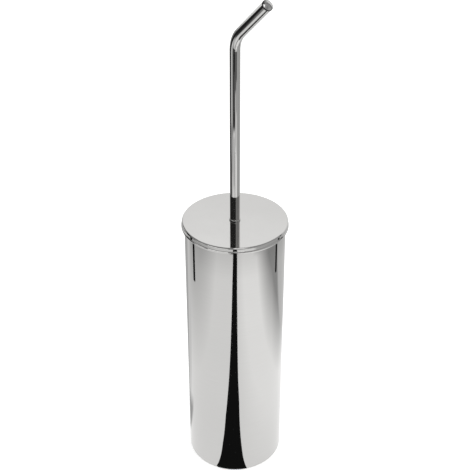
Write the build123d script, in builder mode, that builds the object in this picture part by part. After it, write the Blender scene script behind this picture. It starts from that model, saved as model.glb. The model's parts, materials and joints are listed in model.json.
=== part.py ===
from build123d import *
from math import cos, radians, sin
import os

# Free-standing toilet brush holder. A polished steel tube stands on a base plate and a
# rubber ring, a plastic liner hangs inside it by its rim, and a brush with a long bent
# handle carries the pressed lid that closes the tube.
# Millimetres, +Z up. The origin is on the tube's axis, at floor level.

# ---- Driving dimensions ----
TUBE_RADIUS = 45.5
TUBE_WALL = 0.8
TUBE_BOTTOM = 0.8
TUBE_TOP = 262.0

FLOOR_RING_HEIGHT = 2.0
FLOOR_RING_WIDTH = 9.0
BASE_SHEET = 1.0
BASE_FLANGE_HEIGHT = 7.0

LINER_WALL = 1.2
LINER_FLOOR = 1.5
LINER_TOP_RADIUS = 43.4
LINER_FOOT_RADIUS = 41.6
LINER_RIM_THICKNESS = 1.5
LINER_BASE_GAP = 1.0
DRAIN_RIB_HEIGHT = 3.0

LID_RADIUS = 48.2
LID_SHEET = 1.0
LID_SKIRT = 6.0
LID_EDGE_RADIUS = 1.2
LID_HEM_HEIGHT = 2.8
LID_HEM_WIDTH = 1.8
LID_HEM_PROUD = 0.5
LID_INSERT_THICKNESS = 1.5
LID_SPIGOT_RADIUS = 41.0
LID_SPIGOT_DEPTH = 8.0

HANDLE_RADIUS = 4.5
HANDLE_WALL = 1.0
HANDLE_BOTTOM = 100.0
BEND_HEIGHT_ABOVE_LID = 172.0
BEND_RADIUS = 24.0
BEND_ANGLE = 45.0
ARM_LENGTH = 56.0
ARM_AZIMUTH = -50.0
COLLAR_WALL = 0.6

THREAD_RADIUS = 3.0
THREAD_PITCH = 1.0
THREAD_TURNS = 13
RUNNING_CLEARANCE = 0.05

HEAD_CORE_RADIUS = 8.5
HEAD_CORE_BOTTOM = 36.0
HEAD_BOTTOM = 24.0
BRISTLE_RADIUS = 37.5
BRISTLE_ROWS = 8
BRISTLE_ROW_PITCH = 6.5

# ---- Heights and radii that follow from them ----
TUBE_BORE = TUBE_RADIUS - TUBE_WALL
BASE_TOP = FLOOR_RING_HEIGHT + BASE_SHEET
LINER_BOTTOM = BASE_TOP + LINER_BASE_GAP
LINER_TOP = TUBE_TOP + LINER_RIM_THICKNESS
LID_PLATE_BOTTOM = LINER_TOP + LID_INSERT_THICKNESS
LID_TOP = LID_PLATE_BOTTOM + LID_SHEET
BEND_HEIGHT = LID_TOP + BEND_HEIGHT_ABOVE_LID

os.makedirs("parts", exist_ok=True)

# ---- Holder: tube, base plate and floor ring ----
with BuildPart() as outer_tube:
    with BuildSketch(Plane.XY.offset(TUBE_BOTTOM)):
        Circle(TUBE_RADIUS)
        Circle(TUBE_BORE, mode=Mode.SUBTRACT)
    extrude(amount=TUBE_TOP - TUBE_BOTTOM)
    fillet(outer_tube.edges().filter_by(GeomType.CIRCLE), radius=0.3 * TUBE_WALL)
outer_tube.part.label = "outer_tube"
export_step(outer_tube.part, "parts/outer_tube.step")

# The base plate is a shallow pressed cup whose flange is fixed to the inside of the tube.
with BuildPart() as base_plate:
    with BuildSketch(Plane.XY.offset(FLOOR_RING_HEIGHT)):
        Circle(TUBE_BORE)
    extrude(amount=BASE_FLANGE_HEIGHT)
    fillet(base_plate.edges().group_by(Axis.Z)[0], radius=2 * BASE_SHEET)
    offset(amount=-BASE_SHEET, openings=base_plate.faces().sort_by(Axis.Z)[-1])
base_plate.part.label = "base_plate"
export_step(base_plate.part, "parts/base_plate.step")

floor_ring_radius = TUBE_BORE - 2 * BASE_SHEET
with BuildPart() as floor_ring:
    with BuildSketch():
        Circle(floor_ring_radius)
        Circle(floor_ring_radius - FLOOR_RING_WIDTH, mode=Mode.SUBTRACT)
    extrude(amount=FLOOR_RING_HEIGHT)
    fillet(floor_ring.edges().group_by(Axis.Z)[0], radius=0.5)
floor_ring.part.label = "floor_ring"
export_step(floor_ring.part, "parts/floor_ring.step")

# ---- Liner: a tapered bucket that hangs by its rim, with drain ribs on its floor ----
liner_inside_bottom = LINER_BOTTOM + LINER_FLOOR
with BuildPart() as liner:
    with BuildSketch(Plane.XZ):
        with BuildLine():
            Polyline(
                (0, LINER_BOTTOM),
                (LINER_FOOT_RADIUS, LINER_BOTTOM),
                (LINER_TOP_RADIUS, TUBE_TOP),
                (TUBE_RADIUS, TUBE_TOP),
                (TUBE_RADIUS, LINER_TOP),
                (LINER_TOP_RADIUS - LINER_WALL, LINER_TOP),
                (LINER_FOOT_RADIUS - LINER_WALL, liner_inside_bottom),
                (0, liner_inside_bottom),
                close=True,
            )
        make_face()
    revolve(axis=Axis.Z)
    fillet(liner.edges().group_by(Axis.Z)[0], radius=2.5)
    fillet(liner.edges().group_by(Axis.Z)[-1], radius=0.5)
    with BuildSketch(Plane.XY.offset(liner_inside_bottom)):
        with PolarLocations(0, 3):
            Rectangle(1.6 * LINER_FOOT_RADIUS, 2 * LINER_WALL)
    extrude(amount=DRAIN_RIB_HEIGHT)
liner.part.label = "liner"
export_step(liner.part, "parts/liner.step")

# ---- Lid: pressed cap with a rolled hem, plastic insert that centres it, and its bush ----
handle_hole_radius = HANDLE_RADIUS + 0.4 * COLLAR_WALL
skirt_radius = LID_RADIUS - LID_HEM_PROUD
hem_middle = LID_TOP - LID_SKIRT + 0.5 * LID_HEM_HEIGHT
with BuildPart() as lid_cap:
    with BuildSketch(Plane.XY.offset(hem_middle)):
        Circle(skirt_radius)
    extrude(amount=LID_TOP - hem_middle)
    fillet(lid_cap.edges().group_by(Axis.Z)[-1], radius=LID_EDGE_RADIUS)
    offset(amount=-LID_SHEET, openings=lid_cap.faces().sort_by(Axis.Z)[0])
    with BuildSketch(Plane.XZ):
        with Locations((LID_RADIUS - 0.5 * LID_HEM_WIDTH, hem_middle)):
            Ellipse(0.5 * LID_HEM_WIDTH, 0.5 * LID_HEM_HEIGHT)
    revolve(axis=Axis.Z)
    with Locations((0, 0, LID_TOP)):
        Hole(handle_hole_radius)
lid_cap.part.label = "lid_cap"
export_step(lid_cap.part, "parts/lid_cap.step")

insert_radius = skirt_radius - LID_SHEET - 0.3
spigot_wall = 1.6
hub_radius = 9.5
bush_radius = 7.0
rib_depth = 0.5 * LID_SPIGOT_DEPTH
with BuildPart() as lid_insert:
    with BuildSketch(Plane.XY.offset(LINER_TOP)):
        Circle(insert_radius)
    extrude(amount=LID_INSERT_THICKNESS)
    with BuildSketch(Plane.XY.offset(LINER_TOP)):
        Circle(LID_SPIGOT_RADIUS)
        Circle(LID_SPIGOT_RADIUS - spigot_wall, mode=Mode.SUBTRACT)
        Circle(hub_radius)
    extrude(amount=-LID_SPIGOT_DEPTH)
    spigot_rims = lid_insert.edges().group_by(Axis.Z)[0]
    fillet(spigot_rims, radius=0.3 * spigot_wall)
    with BuildSketch(Plane.XY.offset(LINER_TOP)):
        with PolarLocations(0, 6):
            with Locations((0.5 * (hub_radius + LID_SPIGOT_RADIUS - spigot_wall), 0)):
                Rectangle(LID_SPIGOT_RADIUS - hub_radius - 0.5 * spigot_wall, spigot_wall)
    extrude(amount=-rib_depth)
    with Locations((0, 0, LID_PLATE_BOTTOM)):
        Hole(bush_radius)
lid_insert.part.label = "lid_insert"
export_step(lid_insert.part, "parts/lid_insert.step")

hub_bottom = LINER_TOP - LID_SPIGOT_DEPTH
bush_flange = 1.2
with BuildPart() as lid_bush:
    with BuildSketch(Plane.XY.offset(hub_bottom)):
        Circle(bush_radius)
    extrude(amount=LID_PLATE_BOTTOM - hub_bottom)
    with BuildSketch(Plane.XY.offset(hub_bottom)):
        Circle(bush_radius + 1.8)
    extrude(amount=-bush_flange)
    with Locations((0, 0, LID_PLATE_BOTTOM)):
        Hole(HANDLE_RADIUS + RUNNING_CLEARANCE)
    chamfer(lid_bush.edges().group_by(Axis.Z)[0], length=0.3)
lid_bush.part.label = "lid_bush"
export_step(lid_bush.part, "parts/lid_bush.step")

# ---- Handle: bent tube, end plug, lid collar, washer, push-on clip and thread stud ----
plug_radius = HANDLE_RADIUS + 0.25
plug_rim = 0.7
plug_crown = 1.3
plug_shank = 8.0
arm_direction = Vector(
    sin(radians(BEND_ANGLE)) * cos(radians(ARM_AZIMUTH)),
    sin(radians(BEND_ANGLE)) * sin(radians(ARM_AZIMUTH)),
    cos(radians(BEND_ANGLE)),
)
bend_corner = Vector(0, 0, BEND_HEIGHT)
tube_end = bend_corner + arm_direction * (ARM_LENGTH - plug_rim - plug_crown)
tube_end_plane = Plane(origin=tube_end, z_dir=arm_direction)

with BuildPart() as handle_tube:
    with BuildLine() as handle_path:
        FilletPolyline((0, 0, HANDLE_BOTTOM), bend_corner, tube_end, radius=BEND_RADIUS)
    with BuildSketch(Plane.XY.offset(HANDLE_BOTTOM)):
        Circle(HANDLE_RADIUS)
        Circle(HANDLE_RADIUS - HANDLE_WALL, mode=Mode.SUBTRACT)
    sweep(path=handle_path.line)
handle_tube.part.label = "handle_tube"
export_step(handle_tube.part, "parts/handle_tube.step")

# The plug stands a little proud of the tube. Its face is a shallow crown, the cap of a sphere.
crown_radius = (plug_radius**2 + plug_crown**2) / (2 * plug_crown)
with BuildPart() as handle_end_plug:
    with BuildSketch(tube_end_plane):
        Circle(plug_radius)
    extrude(amount=plug_rim + plug_crown)
    with Locations(tube_end_plane.offset(plug_rim + plug_crown - crown_radius)):
        Sphere(crown_radius, mode=Mode.INTERSECT)
    crown = handle_end_plug.faces().filter_by(GeomType.SPHERE)
    fillet(crown.edges(), radius=0.3)
    with BuildSketch(tube_end_plane):
        Circle(HANDLE_RADIUS - HANDLE_WALL)
    extrude(amount=-plug_shank)
handle_end_plug.part.label = "handle_end_plug"
export_step(handle_end_plug.part, "parts/handle_end_plug.step")

collar_height = 1.4
with BuildPart() as lid_collar:
    with BuildSketch(Plane.XY.offset(LID_TOP)):
        Circle(HANDLE_RADIUS + COLLAR_WALL)
        Circle(HANDLE_RADIUS, mode=Mode.SUBTRACT)
    extrude(amount=collar_height)
    outer_rim = lid_collar.edges().group_by(Axis.Z)[-1].sort_by(SortBy.RADIUS)[-1]
    fillet(outer_rim, radius=0.7 * COLLAR_WALL)
lid_collar.part.label = "lid_collar"
export_step(lid_collar.part, "parts/lid_collar.step")

washer_thickness = 0.8
washer_top = hub_bottom - bush_flange - 0.2
with BuildPart() as lid_washer:
    with BuildSketch(Plane.XY.offset(washer_top)):
        Circle(bush_radius + 1.5)
        Circle(HANDLE_RADIUS + RUNNING_CLEARANCE, mode=Mode.SUBTRACT)
    extrude(amount=-washer_thickness)
lid_washer.part.label = "lid_washer"
export_step(lid_washer.part, "parts/lid_washer.step")

# The push-on clip is a dished spring washer, slotted so that its teeth bite on the tube.
clip_top = washer_top - washer_thickness
clip_sheet = 0.5
clip_dish = 1.0
clip_radius = bush_radius + 1.0
with BuildPart() as push_on_clip:
    with BuildSketch(Plane.XZ):
        with BuildLine():
            Polyline(
                (HANDLE_RADIUS, clip_top - clip_dish),
                (HANDLE_RADIUS + 1.5, clip_top - clip_sheet),
                (clip_radius, clip_top - clip_sheet),
                (clip_radius, clip_top),
                (HANDLE_RADIUS + 1.3, clip_top),
                (HANDLE_RADIUS, clip_top - clip_dish + clip_sheet),
                close=True,
            )
        make_face()
    revolve(axis=Axis.Z)
    with BuildSketch(Plane.XY.offset(clip_top)):
        with PolarLocations(HANDLE_RADIUS + 0.6, 6):
            Rectangle(1.8, 0.8)
    extrude(amount=-2 * clip_dish, mode=Mode.SUBTRACT)
push_on_clip.part.label = "push_on_clip"
export_step(push_on_clip.part, "parts/push_on_clip.step")

# The thread is drawn as rings of the right pitch, on a stud pressed into the handle tube.
shoulder_bottom = HANDLE_BOTTOM - 2.0
thread_root = THREAD_RADIUS - 0.6 * THREAD_PITCH
with BuildPart() as thread_stud:
    with BuildSketch(Plane.XZ):
        with BuildLine():
            outline = [(0, HANDLE_BOTTOM + 12), (HANDLE_RADIUS - HANDLE_WALL, HANDLE_BOTTOM + 12)]
            outline += [(HANDLE_RADIUS - HANDLE_WALL, HANDLE_BOTTOM)]
            outline += [(HANDLE_RADIUS, HANDLE_BOTTOM), (HANDLE_RADIUS, shoulder_bottom)]
            for turn in range(THREAD_TURNS):
                root_height = shoulder_bottom - turn * THREAD_PITCH
                outline += [(thread_root, root_height)]
                outline += [(THREAD_RADIUS, root_height - 0.5 * THREAD_PITCH)]
            thread_end = shoulder_bottom - THREAD_TURNS * THREAD_PITCH
            outline += [(thread_root, thread_end), (0, thread_end)]
            Polyline(*outline, close=True)
        make_face()
    revolve(axis=Axis.Z)
thread_stud.part.label = "thread_stud"
export_step(thread_stud.part, "parts/thread_stud.step")

# ---- Brush head: sealing washer, core with its brass nut, bristle rows and bristle tip ----
seal_thickness = 1.0
head_top = shoulder_bottom - seal_thickness
with BuildPart() as head_washer:
    with BuildSketch(Plane.XY.offset(head_top)):
        Circle(HANDLE_RADIUS + 2.0)
        Circle(THREAD_RADIUS + 2 * RUNNING_CLEARANCE, mode=Mode.SUBTRACT)
    extrude(amount=seal_thickness)
head_washer.part.label = "head_washer"
export_step(head_washer.part, "parts/head_washer.step")

nut_radius = 5.0
nut_bottom = thread_end - 1.0
with BuildPart() as head_core:
    with BuildSketch(Plane.XY.offset(HEAD_CORE_BOTTOM)):
        Circle(HEAD_CORE_RADIUS)
    extrude(amount=head_top - HEAD_CORE_BOTTOM)
    fillet(head_core.edges().group_by(Axis.Z)[-1], radius=1.5)
    fillet(head_core.edges().group_by(Axis.Z)[0], radius=0.7 * HEAD_CORE_RADIUS)
    with BuildSketch(Plane.XY.offset(head_top)):
        Circle(nut_radius)
    extrude(amount=nut_bottom - head_top, mode=Mode.SUBTRACT)
head_core.part.label = "head_core"
export_step(head_core.part, "parts/head_core.step")

with BuildPart() as head_nut:
    with BuildSketch(Plane.XY.offset(nut_bottom)):
        Circle(nut_radius)
        Circle(THREAD_RADIUS + 2 * RUNNING_CLEARANCE, mode=Mode.SUBTRACT)
    extrude(amount=head_top - nut_bottom)
head_nut.part.label = "head_nut"
export_step(head_nut.part, "parts/head_nut.step")

# Each bristle row and the tip is the space that its bristles fill.
row_gap = 0.5
top_row = head_top - 2 * row_gap - BRISTLE_ROW_PITCH
for row in range(BRISTLE_ROWS):
    row_bottom = top_row - row * BRISTLE_ROW_PITCH
    with BuildPart() as bristle_row:
        with BuildSketch(Plane.XY.offset(row_bottom)):
            Circle(BRISTLE_RADIUS)
            Circle(HEAD_CORE_RADIUS, mode=Mode.SUBTRACT)
        extrude(amount=BRISTLE_ROW_PITCH - row_gap)
    bristle_row.part.label = f"bristle_row_{row + 1}"
    export_step(bristle_row.part, f"parts/bristle_row_{row + 1}.step")

tip_depth = row_bottom - row_gap - HEAD_BOTTOM
with BuildPart() as bristle_tip:
    with BuildSketch(Plane.XY.offset(HEAD_BOTTOM)):
        Circle(0.9 * BRISTLE_RADIUS)
    extrude(amount=tip_depth)
    fillet(bristle_tip.edges().group_by(Axis.Z)[0], radius=0.8 * tip_depth)
    with BuildSketch(Plane.XY.offset(HEAD_CORE_BOTTOM)):
        Circle(HEAD_CORE_RADIUS)
    extrude(amount=tip_depth, mode=Mode.SUBTRACT)
bristle_tip.part.label = "bristle_tip"
export_step(bristle_tip.part, "parts/bristle_tip.step")
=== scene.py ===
import json
import math
import random

import bmesh
import bpy
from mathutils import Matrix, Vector


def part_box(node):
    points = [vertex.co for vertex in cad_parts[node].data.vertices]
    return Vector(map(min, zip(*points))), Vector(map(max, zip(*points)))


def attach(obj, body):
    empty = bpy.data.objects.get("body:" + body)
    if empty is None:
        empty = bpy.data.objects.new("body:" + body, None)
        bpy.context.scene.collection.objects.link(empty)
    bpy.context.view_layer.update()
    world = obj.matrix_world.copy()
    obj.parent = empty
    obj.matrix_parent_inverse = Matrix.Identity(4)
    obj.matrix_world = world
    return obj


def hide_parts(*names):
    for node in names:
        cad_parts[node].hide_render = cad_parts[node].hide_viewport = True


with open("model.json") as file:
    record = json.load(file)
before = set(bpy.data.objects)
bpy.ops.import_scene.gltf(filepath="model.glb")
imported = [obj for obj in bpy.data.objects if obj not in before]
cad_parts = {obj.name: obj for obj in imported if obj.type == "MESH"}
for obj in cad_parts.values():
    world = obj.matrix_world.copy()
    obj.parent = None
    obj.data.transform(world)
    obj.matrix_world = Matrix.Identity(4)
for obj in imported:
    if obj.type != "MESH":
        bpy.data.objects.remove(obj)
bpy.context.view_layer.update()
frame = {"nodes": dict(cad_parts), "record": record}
nodes = frame["nodes"]

BRISTLE_ROWS = 8
TUFTS_PER_ROW = 20
FILAMENTS_PER_TUFT = 22
TIP_FILAMENTS = 900
FILAMENT_RADIUS = 0.00017

TUBE_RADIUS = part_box("outer_tube")[1].x
LID_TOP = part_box("lid_cap")[1].z

# The arm leans 45 degrees from upright, towards the front right.
plug_middle = sum(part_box("handle_end_plug"), Vector()) / 2
ARM_DIRECTION = Vector((plug_middle.x, plug_middle.y, math.hypot(plug_middle.x, plug_middle.y))).normalized()

# The mirrored floor: start and end heading in degrees, near and far distance in metres from the
# tube's axis, strength. A later one lies on top.
FLOOR_SECTORS = (
    (-184, -134, 0.04, 0.60, 0.48),
    (-134, -120, 0.04, 0.60, 0.74),
    (-140, -106, 0.04, 0.10, 0.42),
    (-130, -75, 0.45, 0.62, 0.03),
    (-190, -126, 0.60, 6.0, 0.33),
    (-126, -84, 0.60, 6.0, 0.03),
    (-80, -62, 0.60, 0.72, 0.50),
    (-84, -62, 0.72, 6.0, 0.90),
    (-62, -42, 0.56, 0.68, 0.50),
    (-62, -42, 0.68, 6.0, 0.28),
    (-42, 4, 0.52, 0.68, 0.68),
    (-42, 4, 0.70, 6.0, 0.02),
    (-22, 4, 0.77, 0.92, 0.12),
    (4, 22, 0.64, 0.84, 0.68),
    (4, 22, 0.84, 6.0, 0.08),
    (22, 42, 0.62, 0.76, 0.85),
    (22, 42, 0.76, 0.88, 0.45),
    (22, 42, 0.88, 6.0, 0.08),
    (42, 112, 0.43, 6.0, 0.50),
)
# Half the width of a sector's soft edge, in degrees of heading and in metres of distance.
SOFT_TURN = 4.0
SOFT_REACH = 0.012

# The mirrored table lies just above the floor, and the dark strip just above the table.
TABLE_HEIGHT = 0.0002
FLAG_HEIGHT = 0.0006
POLE_HEIGHT = 1.2
FLOOR_HALF_SIZE = 12.0
TABLE_HALF_SIZE = 4.0

# The camera's place was fitted to the photo. Its tilt is in degrees below level, its lens in millimetres.
CAMERA_DISTANCE = 0.796
CAMERA_RISE = 0.497
CAMERA_TILT = 32.84
CAMERA_LENS = 80.3

WHITE = (1.0, 1.0, 1.0, 1.0)
# Painted shade: the dark colour, and the band in metres from the arm's axis, painted round the end plug's rim
# in place of its dark reflection.
PLUG_RIM_PAINTED_SHADE = (0.05, 0.05, 0.05, 1.0)
PLUG_RIM_PAINTED_SHADE_START = 0.0038
PLUG_RIM_PAINTED_SHADE_END = 0.0045


# ---- Camera: in front of the object and above it, looking back and down at it ----
def make_camera():
    """The photo's view."""
    camera_data = bpy.data.cameras.new("camera")
    camera_data.lens = CAMERA_LENS
    camera_data.sensor_width = 36.0
    camera_data.clip_start = 0.01
    camera = bpy.data.objects.new("camera", camera_data)
    camera.location = (0.0, -CAMERA_DISTANCE, LID_TOP + CAMERA_RISE)
    camera.rotation_euler = (math.radians(90.0 - CAMERA_TILT), 0.0, 0.0)
    bpy.context.scene.collection.objects.link(camera)
    bpy.context.scene.camera = camera


# ---- Helpers for shader nodes ----
def add(tree, kind, props=None, **inputs):
    """Adds one node. An input is a plain value, or another node's output to link."""
    node = tree.nodes.new(kind)
    for name, value in (props or {}).items():
        setattr(node, name, value)
    for name, value in inputs.items():
        socket = node.inputs[int(name[1:])] if name[0] == "_" else node.inputs[name.replace("_", " ")]
        if isinstance(value, bpy.types.NodeSocket):
            tree.links.new(value, socket)
        else:
            socket.default_value = value
    return node


def math_node(tree, operation, first, second=0.0):
    return add(tree, "ShaderNodeMath", {"operation": operation}, _0=first, _1=second).outputs[0]


def position(tree, scale=(1.0, 1.0, 1.0), rotation=(0.0, 0.0, 0.0)):
    """The point on the surface in the object's own frame, stretched to give a grain."""
    coords = add(tree, "ShaderNodeTexCoord")
    mapping = add(tree, "ShaderNodeMapping", Vector=coords.outputs["Object"])
    mapping.inputs["Scale"].default_value = scale
    mapping.inputs["Rotation"].default_value = rotation
    return mapping.outputs["Vector"]


def noise(tree, scale, detail=4.0, vector=None):
    vector = position(tree) if vector is None else vector
    return add(tree, "ShaderNodeTexNoise", Vector=vector, Scale=scale, Detail=detail).outputs["Fac"]


def spread(tree, value, low, high, out_low, out_high):
    """Maps low..high to out_low..out_high, clamped."""
    node = add(tree, "ShaderNodeMapRange", Value=value)
    for name, number in (("From Min", low), ("From Max", high), ("To Min", out_low), ("To Max", out_high)):
        node.inputs[name].default_value = number
    return node.outputs["Result"]


def shade(tree, value, dark, light):
    """A colour between dark and light."""
    mix = add(tree, "ShaderNodeMix", {"data_type": "RGBA"}, Factor=value)
    mix.inputs[6].default_value = (*dark, 1.0)
    mix.inputs[7].default_value = (*light, 1.0)
    return mix.outputs[2]


def principled(name, metallic=0.0, **values):
    """A new material, its tree and its shader, with the uniform values on the shader's sockets."""
    material = bpy.data.materials.new(name)
    material.use_nodes = True
    shader = material.node_tree.nodes["Principled BSDF"]
    shader.inputs["Metallic"].default_value = metallic
    for key, value in values.items():
        shader.inputs[key.replace("_", " ")].default_value = value
    return material, material.node_tree, shader


def connect(tree, shader, colour=None, roughness=None, height=None, distance=0.0):
    if colour is not None:
        tree.links.new(colour, shader.inputs["Base Color"])
    if roughness is not None:
        tree.links.new(roughness, shader.inputs["Roughness"])
    if height is not None:
        bump = add(tree, "ShaderNodeBump", Height=height, Distance=distance)
        tree.links.new(bump.outputs["Normal"], shader.inputs["Normal"])


# ---- Materials ----
def polished_steel(name, dark, light, gloss=0.03, haze=0.07):
    """Mirror-polished steel: polishing lines, faint wiping haze and a few hairline scratches."""
    material, tree, shader = principled(name, metallic=1.0)
    clouds = noise(tree, 18.0, 5.0)
    lines = noise(tree, 60.0, 3.0, position(tree, (1.0, 1.0, 40.0)))
    hair = noise(tree, 140.0, 2.0, position(tree, (1.0, 0.04, 1.0), (0.4, 0.9, 0.3)))
    scratch = spread(tree, hair, 0.66, 0.72, 0.0, 1.0)
    tone = math_node(tree, "MULTIPLY", clouds, lines)
    smooth = spread(tree, clouds, 0.35, 0.75, gloss, haze)
    rough = math_node(tree, "ADD", smooth, math_node(tree, "MULTIPLY", scratch, 0.05))
    relief = math_node(tree, "ADD", math_node(tree, "MULTIPLY", lines, 0.03), noise(tree, 26.0, 1.0))
    connect(tree, shader, shade(tree, tone, dark, light), rough, relief, 0.00001)
    return material


def paint_rim_shade(material, node, along, inner, outer):
    """Darkens a round node's edge, by distance from the line that runs along its middle: painted shade that
    stands in for the dark reflection round the plug's rim.
    """
    tree = material.node_tree
    shader = tree.nodes["Principled BSDF"]
    colour = shader.inputs["Base Color"].links[0].from_socket
    low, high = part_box(node)
    point = add(tree, "ShaderNodeTexCoord").outputs["Object"]
    middle = (low + high) / 2
    offset = add(tree, "ShaderNodeVectorMath", {"operation": "SUBTRACT"}, _0=point, _1=middle).outputs[0]
    across = add(tree, "ShaderNodeVectorMath", {"operation": "CROSS_PRODUCT"}, _0=offset, _1=along).outputs[0]
    radius = add(tree, "ShaderNodeVectorMath", {"operation": "LENGTH"}, _0=across).outputs["Value"]
    # Painted shade: across this band the steel's colour gives way to the dark rim colour.
    edge = spread(tree, radius, inner, outer, 0.0, 1.0)
    mix = add(tree, "ShaderNodeMix", {"data_type": "RGBA"}, _0=edge, _6=colour, _7=PLUG_RIM_PAINTED_SHADE)
    tree.links.new(mix.outputs[2], shader.inputs["Base Color"])


def satin_metal(name, dark, light):
    """Plain drawn or turned metal: a fine grain round the upright axis, and faint stains."""
    material, tree, shader = principled(name, metallic=1.0)
    lines = noise(tree, 220.0, 4.0, position(tree, (1.0, 1.0, 30.0)))
    stains = noise(tree, 55.0, 5.0)
    connect(
        tree, shader,
        shade(tree, stains, dark, light),
        spread(tree, lines, 0.3, 0.7, 0.26, 0.42),
        math_node(tree, "ADD", lines, stains), 0.00004,
    )
    return material


def moulded_plastic(name, dark, light, roughness=(0.38, 0.55)):
    """Moulded plastic: fine spark texture, flow marks and a soft change of tone."""
    material, tree, shader = principled(name)
    texture = noise(tree, 2600.0, 2.0)
    flow = noise(tree, 34.0, 4.0, position(tree, (1.0, 1.0, 0.25)))
    connect(
        tree, shader,
        shade(tree, flow, dark, light),
        spread(tree, flow, 0.3, 0.7, *roughness),
        math_node(tree, "ADD", texture, flow), 0.00003,
    )
    return material


def rubber(name):
    """Matt black rubber: fine specks and a little dust."""
    material, tree, shader = principled(name)
    specks = noise(tree, 1800.0, 3.0)
    dust = noise(tree, 90.0, 6.0)
    connect(
        tree, shader,
        shade(tree, spread(tree, dust, 0.5, 0.8, 0.0, 1.0), (0.022, 0.022, 0.023), (0.06, 0.06, 0.06)),
        spread(tree, specks, 0.3, 0.7, 0.7, 0.92),
        specks, 0.00008,
    )
    return material


def nylon_filament(name):
    """White nylon that lets a little light through, with a small change of tone."""
    material, tree, shader = principled(name, Subsurface_Weight=0.25, Subsurface_Scale=0.002)
    shader.inputs["Subsurface Radius"].default_value = (1.0, 1.0, 0.9)
    strands = noise(tree, 900.0, 2.0)
    tips = noise(tree, 60.0, 3.0)
    connect(
        tree, shader,
        shade(tree, tips, (0.80, 0.80, 0.78), (0.92, 0.92, 0.91)),
        spread(tree, strands, 0.3, 0.7, 0.25, 0.45),
        strands, 0.00002,
    )
    return material


def dress_frame():
    """Gives every CAD node its material, by the record's slot."""
    finishes = {
        "polished_steel": polished_steel("mirror_steel", (0.60, 0.595, 0.585), (0.67, 0.665, 0.655)),
        "plug_steel": polished_steel("plug_steel", (0.56, 0.555, 0.55), (0.64, 0.635, 0.63), 0.08, 0.14),
        "plain_steel": satin_metal("satin_steel", (0.42, 0.42, 0.41), (0.56, 0.56, 0.55)),
        "spring_steel": satin_metal("spring_steel", (0.10, 0.11, 0.14), (0.24, 0.25, 0.28)),
        "nut_brass": satin_metal("turned_brass", (0.62, 0.44, 0.17), (0.80, 0.62, 0.30)),
        "ring_rubber": rubber("black_rubber"),
        "liner_plastic": moulded_plastic("black_polypropylene", (0.018, 0.018, 0.019), (0.032, 0.032, 0.034)),
        "insert_plastic": moulded_plastic("grey_polypropylene", (0.065, 0.066, 0.07), (0.10, 0.10, 0.105)),
        "bush_nylon": moulded_plastic("natural_nylon", (0.70, 0.67, 0.58), (0.80, 0.77, 0.69), (0.3, 0.42)),
        "core_plastic": moulded_plastic(
            "white_polypropylene", (0.78, 0.78, 0.77), (0.88, 0.88, 0.87), (0.2, 0.34)
        ),
        "bristle_nylon": nylon_filament("nylon_filament"),
    }
    # Paints a dark ring of shade round the end plug's rim, standing in for a dark reflection.
    paint_rim_shade(finishes["plug_steel"], "handle_end_plug", ARM_DIRECTION, PLUG_RIM_PAINTED_SHADE_START, PLUG_RIM_PAINTED_SHADE_END)
    for entry in frame["record"]["subparts"]:
        mesh = nodes[entry["node"]].data
        mesh.materials.clear()
        mesh.materials.append(finishes[entry["material_slot"]])
    return finishes


# ---- Bristles ----
def add_filament(mesh, points, radius):
    """A thin four-sided rod through the points, closed at its ends."""
    rings = []
    for index, point in enumerate(points):
        before = points[max(index - 1, 0)]
        after = points[min(index + 1, len(points) - 1)]
        along = (after - before).normalized()
        side = along.orthogonal().normalized()
        up = along.cross(side)
        corners = (side + up, side - up, -side - up, up - side)
        rings.append([mesh.verts.new(point + corner * (radius * 0.7)) for corner in corners])
    for low, high in zip(rings, rings[1:]):
        for k in range(4):
            mesh.faces.new((low[k], low[(k + 1) % 4], high[(k + 1) % 4], high[k]))
    mesh.faces.new(rings[0][::-1])
    mesh.faces.new(rings[-1])


def bristle_piece(name, node, fill, material):
    """One object of filaments that stands for a CAD bristle solid."""
    mesh = bmesh.new()
    fill(mesh)
    bmesh.ops.recalc_face_normals(mesh, faces=mesh.faces)
    data = bpy.data.meshes.new(name)
    mesh.to_mesh(data)
    mesh.free()
    data.polygons.foreach_set("use_smooth", [True] * len(data.polygons))
    data.materials.append(material)
    piece = bpy.data.objects.new(name, data)
    bpy.context.scene.collection.objects.link(piece)
    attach(piece, "brush_head")
    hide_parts(node)


def fill_row(mesh, row, low, high, core_radius):
    """Tufts set in a ring of holes, each fanning out to the row's edge."""
    draw = random.Random(100 + row)
    middle = (low.z + high.z) / 2
    half_height = (high.z - low.z) / 2 - FILAMENT_RADIUS
    half_gap = math.pi / TUFTS_PER_ROW
    root = core_radius * 0.96
    for tuft in range(TUFTS_PER_ROW):
        heading = (2 * tuft + row % 2) * half_gap
        for _ in range(FILAMENTS_PER_TUFT):
            turn = draw.uniform(-1.0, 1.0)
            rise = draw.uniform(-1.0, 1.0)
            reach = high.x * draw.uniform(0.965, 0.995)
            bow = draw.uniform(-0.02, 0.02)
            points = []
            for step in range(4):
                part = step / 3
                radius = root + (reach - root) * part
                fan = part ** 0.8
                angle = heading + turn * half_gap * (0.35 + 0.75 * fan) + bow * part * (1 - part)
                height = middle + rise * half_height * (0.28 + 0.68 * fan)
                points.append(Vector((radius * math.cos(angle), radius * math.sin(angle), height)))
            add_filament(mesh, points, FILAMENT_RADIUS)


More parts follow.
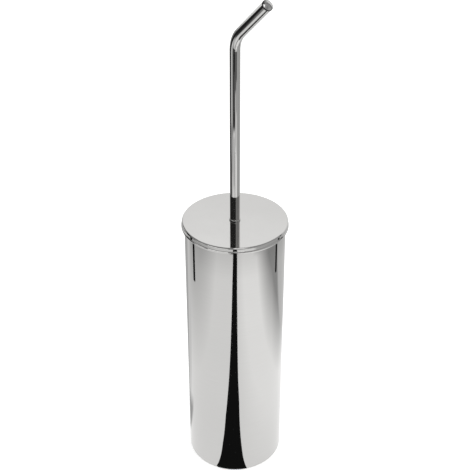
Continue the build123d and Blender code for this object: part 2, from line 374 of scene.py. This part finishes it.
def fill_tip(mesh, low, high, core_radius):
    """Tufts that fan down and out from the end of the core."""
    draw = random.Random(7)
    top = high.z
    depth = top - low.z
    corner = 0.8 * depth
    reach = high.x
    start = core_radius * 0.55
    widest = 84.0

    def inside(radius, drop):
        """Whether a point is in the tip's space, whose lower edge is rounded."""
        if radius > reach or drop > depth:
            return False
        over_radius = radius - (reach - corner)
        over_drop = drop - (depth - corner)
        return over_radius < 0 or over_drop < 0 or math.hypot(over_radius, over_drop) < corner

    for _ in range(TIP_FILAMENTS):
        slope = math.radians(draw.uniform(0.0, widest) ** 0.5 * widest ** 0.5)
        heading = draw.uniform(0.0, 2 * math.pi)
        length = 0.0
        while inside(length * math.sin(slope), length * math.cos(slope)):
            length += 0.0004
        length *= draw.uniform(0.93, 0.97)
        twist = draw.uniform(-0.05, 0.05)
        points = []
        for step in range(3):
            part = start + (length - start) * step / 2
            angle = heading + twist * step
            flat = part * math.sin(slope)
            height = top - part * math.cos(slope)
            points.append(Vector((flat * math.cos(angle), flat * math.sin(angle), height)))
        add_filament(mesh, points, FILAMENT_RADIUS)


def make_bristles(material):
    """The rows of tufts and the tip, each in place of its CAD solid."""
    core_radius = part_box("head_core")[1].x
    for row in range(1, BRISTLE_ROWS + 1):
        node = f"bristle_row_{row}"
        low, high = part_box(node)
        bristle_piece(
            f"bristles_{row}", node, lambda mesh: fill_row(mesh, row, low, high, core_radius), material
        )
    low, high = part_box("bristle_tip")
    bristle_piece(
        "bristles_tip", "bristle_tip", lambda mesh: fill_tip(mesh, low, high, core_radius), material
    )


# ---- Studio ----
def stage_plane(name, corners, material):
    data = bpy.data.meshes.new(name)
    data.from_pydata(corners, [], [tuple(range(len(corners)))])
    data.materials.append(material)
    plane = bpy.data.objects.new(name, data)
    bpy.context.scene.collection.objects.link(plane)
    return plane


def level_sheet(left, right, front, back, height):
    return [(left, front, height), (right, front, height), (right, back, height), (left, back, height)]


def glow(name, strength=1.0):
    """An emission material. Its strength is a number, or a pattern added by the caller."""
    material = bpy.data.materials.new(name)
    material.use_nodes = True
    tree = material.node_tree
    tree.nodes.clear()
    emission = add(tree, "ShaderNodeEmission", Strength=strength)
    output = add(tree, "ShaderNodeOutputMaterial")
    tree.links.new(emission.outputs[0], output.inputs["Surface"])
    return material, tree, emission


def reflection_card(name, corners, material):
    """A card that the polished metal mirrors and nothing else sees."""
    card = stage_plane(name, corners, material)
    card.visible_camera = False
    card.visible_diffuse = False
    card.visible_shadow = False
    card.visible_transmission = False
    material.cycles.emission_sampling = "NONE"


def ground(heading, distance, height):
    """A point above the table: heading in degrees from the front, positive to the right."""
    turn = math.radians(heading)
    return (distance * math.sin(turn), -distance * math.cos(turn), height)


def upright(name, heading, distance, width, tall, strength):
    """A standing card on the table, turned to face the tube."""
    turn = math.radians(heading)
    side = Vector((math.cos(turn), math.sin(turn), 0.0)) * (width / 2)
    foot = Vector(ground(heading, distance, 0.0))
    top = Vector(ground(heading, distance, tall))
    reflection_card(name, [foot - side, foot + side, top + side, top - side], glow(name, strength)[0])


def make_floor():
    """A plain white floor that lights nothing else and takes only a faint contact shadow."""
    material, tree, shader = principled("pale_floor", Specular_IOR_Level=0.0, Roughness=0.9)
    connect(tree, shader, shade(tree, noise(tree, 3.0), (0.93, 0.93, 0.925), (0.95, 0.95, 0.945)))
    shader.inputs["Emission Color"].default_value = WHITE
    shader.inputs["Emission Strength"].default_value = 0.35
    half = FLOOR_HALF_SIZE
    floor = stage_plane("floor", level_sheet(-half, half, -half, half, 0.0), material)
    floor.visible_glossy = False
    floor.visible_diffuse = False
    material.cycles.emission_sampling = "NONE"


def table_base(tree, x, y, reach):
    """Brightness of the table by place: it falls off to both sides and away from the tube."""
    leftward = math_node(tree, "SUBTRACT", math_node(tree, "MULTIPLY", y, 0.3), x)
    behind = math_node(tree, "MULTIPLY", math_node(tree, "MAXIMUM", y, 0.0), 0.5)
    rightward = math_node(tree, "ADD", math_node(tree, "ADD", x, math_node(tree, "MULTIPLY", y, 0.4)), behind)
    left = spread(tree, leftward, 0.17, 0.38, 1.0, 0.66)
    right = math_node(
        tree, "MAXIMUM",
        spread(tree, rightward, 0.19, 0.37, 1.0, 0.33),
        spread(tree, y, 0.06, 0.14, 0.0, 0.60),
    )
    base = spread(tree, x, 0.02, 0.12, 0.97, 1.12)
    level = math_node(tree, "MULTIPLY", base, math_node(tree, "MULTIPLY", left, right))
    # A slightly darker band runs round the tube, 0.37 to 0.47 m from its axis.
    band = math_node(
        tree, "SUBTRACT",
        spread(tree, reach, 0.37, 0.43, 0.0, 0.18),
        spread(tree, reach, 0.44, 0.47, 0.0, 0.18),
    )
    return math_node(tree, "MULTIPLY", level, math_node(tree, "SUBTRACT", 1.0, band))


def sector(tree, level, heading, reach, start, end, near, far, strength):
    """The level, replaced by strength between two headings and two distances, with soft edges."""
    turn = math_node(
        tree, "MULTIPLY",
        spread(tree, heading, start - SOFT_TURN, start + SOFT_TURN, 0.0, 1.0),
        spread(tree, heading, end - SOFT_TURN, end + SOFT_TURN, 1.0, 0.0),
    )
    ring = math_node(
        tree, "MULTIPLY",
        spread(tree, reach, near - SOFT_REACH, near + SOFT_REACH, 0.0, 1.0),
        spread(tree, reach, far - SOFT_REACH, far + SOFT_REACH, 1.0, 0.0),
    )
    inside = math_node(tree, "MULTIPLY", turn, ring)
    return add(tree, "ShaderNodeMix", _0=inside, _2=level, _3=strength).outputs[0]


def make_table():
    """One card for the white table and the dim floor beyond it, as the metal mirrors them."""
    material, tree, emission = glow("table_glow")
    coords = add(tree, "ShaderNodeTexCoord").outputs["Object"]
    x, y, _ = add(tree, "ShaderNodeSeparateXYZ", Vector=coords).outputs
    reach = add(tree, "ShaderNodeVectorMath", {"operation": "LENGTH"}, _0=coords).outputs["Value"]
    forward = math_node(tree, "MULTIPLY", y, -1.0)
    turned = math_node(tree, "DEGREES", math_node(tree, "ARCTAN2", x, forward))
    # Headings run from -210 to 150, so that no sector crosses the seam.
    seam = math_node(tree, "MULTIPLY", math_node(tree, "GREATER_THAN", turned, 150.0), 360.0)
    heading = math_node(tree, "SUBTRACT", turned, seam)
    level = table_base(tree, x, y, reach)
    for edges_and_strength in FLOOR_SECTORS:
        level = sector(tree, level, heading, reach, *edges_and_strength)
    tree.links.new(level, emission.inputs["Strength"])
    half = TABLE_HALF_SIZE
    reflection_card("table", level_sheet(-half, half, -half, half, TABLE_HEIGHT), material)


def make_reflections():
    """The table and what stands on it, as the metal mirrors them."""
    make_table()
    # The dark strip in front: how far in front of the tube, and its left and right edge there.
    outline = (
        (-0.003, -0.0195, 0.0120), (0.03, -0.0310, 0.0160), (0.07, -0.0395, 0.0190), (0.10, -0.0410, 0.0225),
        (0.14, -0.0405, 0.0215), (0.30, -0.0370, 0.0275), (0.38, -0.0320, 0.0340), (0.58, -0.0340, 0.0420),
    )
    left = [(low, -TUBE_RADIUS - way, FLAG_HEIGHT) for way, low, high in outline]
    right = [(high, -TUBE_RADIUS - way, FLAG_HEIGHT) for way, low, high in outline]
    reflection_card("front_flag", left + right[::-1], glow("front_flag", 0.008)[0])
    upright("pole_left", -102.8, 0.334, 0.042, POLE_HEIGHT, 0.0)
    upright("pole_right", 103.0, 0.354, 0.036, POLE_HEIGHT, 0.0)
    upright("window", -34.0, 1.05, 0.80, 0.60, 1.3)
    reflection_card("overhead", level_sheet(-0.05, 0.45, -1.3, -0.25, 1.6), glow("overhead", 1.8)[0])


def mirrored_room(tree):
    """Brightness of the room as the metal mirrors it, by direction: x right, y back, z up."""
    coords = add(tree, "ShaderNodeTexCoord")
    x, y, z = add(tree, "ShaderNodeSeparateXYZ", Vector=coords.outputs["Generated"]).outputs
    # The bright wall behind. It is missing at the upper left and fades out towards the ceiling.
    behind = math_node(
        tree, "MULTIPLY", spread(tree, y, 0.25, 0.55, 0.0, 1.0), spread(tree, z, 0.62, 0.8, 1.0, 0.0)
    )
    span = math_node(
        tree, "MAXIMUM", spread(tree, x, -0.45, -0.30, 0.0, 1.0), spread(tree, z, 0.2, 0.4, 1.0, 0.0)
    )
    wall = math_node(tree, "MULTIPLY", behind, span)
    wall_level = spread(tree, z, 0.50, 0.56, 0.97, 1.10)
    # The rest is dark on the left and grey on the right, with a darker stripe in the grey.
    rest = math_node(
        tree, "SUBTRACT", spread(tree, x, 0.22, 0.38, 0.03, 0.42), spread(tree, x, 0.50, 0.60, 0.0, 0.16)
    )
    rest = math_node(tree, "ADD", rest, spread(tree, x, 0.70, 0.78, 0.0, 0.14))
    # A grey ceiling, darker straight above, and a grey band near the horizon at the front and sides.
    ceiling = math_node(
        tree, "MULTIPLY", spread(tree, z, 0.58, 0.70, 0.0, 1.0), spread(tree, z, 0.90, 0.99, 0.38, 0.12)
    )
    horizon = math_node(
        tree, "MULTIPLY", spread(tree, y, 0.05, 0.30, 1.0, 0.0), spread(tree, z, 0.36, 0.46, 0.50, 0.0)
    )
    rest = math_node(tree, "MAXIMUM", math_node(tree, "MAXIMUM", rest, ceiling), horizon)
    return add(tree, "ShaderNodeMix", _0=wall, _2=rest, _3=wall_level).outputs[0]


def make_world():
    """Even white light for everything but the metal, which mirrors a room."""
    world = bpy.data.worlds.new("studio")
    world.use_nodes = True
    tree = world.node_tree
    tree.nodes.clear()
    path = add(tree, "ShaderNodeLightPath")
    plain = add(tree, "ShaderNodeBackground", Color=WHITE, Strength=1.0)
    room = add(tree, "ShaderNodeBackground", Color=WHITE, Strength=mirrored_room(tree))
    mix = add(tree, "ShaderNodeMixShader", _0=path.outputs["Is Glossy Ray"])
    tree.links.new(plain.outputs[0], mix.inputs[1])
    tree.links.new(room.outputs[0], mix.inputs[2])
    output = add(tree, "ShaderNodeOutputWorld")
    tree.links.new(mix.outputs[0], output.inputs["Surface"])
    bpy.context.scene.world = world


def make_light():
    """A soft square lamp to the right, in front and above, which the metal doesn't mirror."""
    data = bpy.data.lights.new("softbox", "AREA")
    data.shape = "RECTANGLE"
    data.size = 0.9
    data.size_y = 0.9
    data.energy = 4.0
    lamp = bpy.data.objects.new("softbox", data)
    lamp.location = (0.9, -0.7, 1.5)
    aim = Vector((0, 0, 0.2)) - lamp.location
    lamp.rotation_euler = aim.to_track_quat("-Z", "Y").to_euler()
    lamp.visible_glossy = False
    bpy.context.scene.collection.objects.link(lamp)


make_camera()
finishes = dress_frame()
make_bristles(finishes["bristle_nylon"])
make_floor()
make_reflections()
make_world()
make_light()
bpy.context.scene.view_settings.view_transform = "Standard"
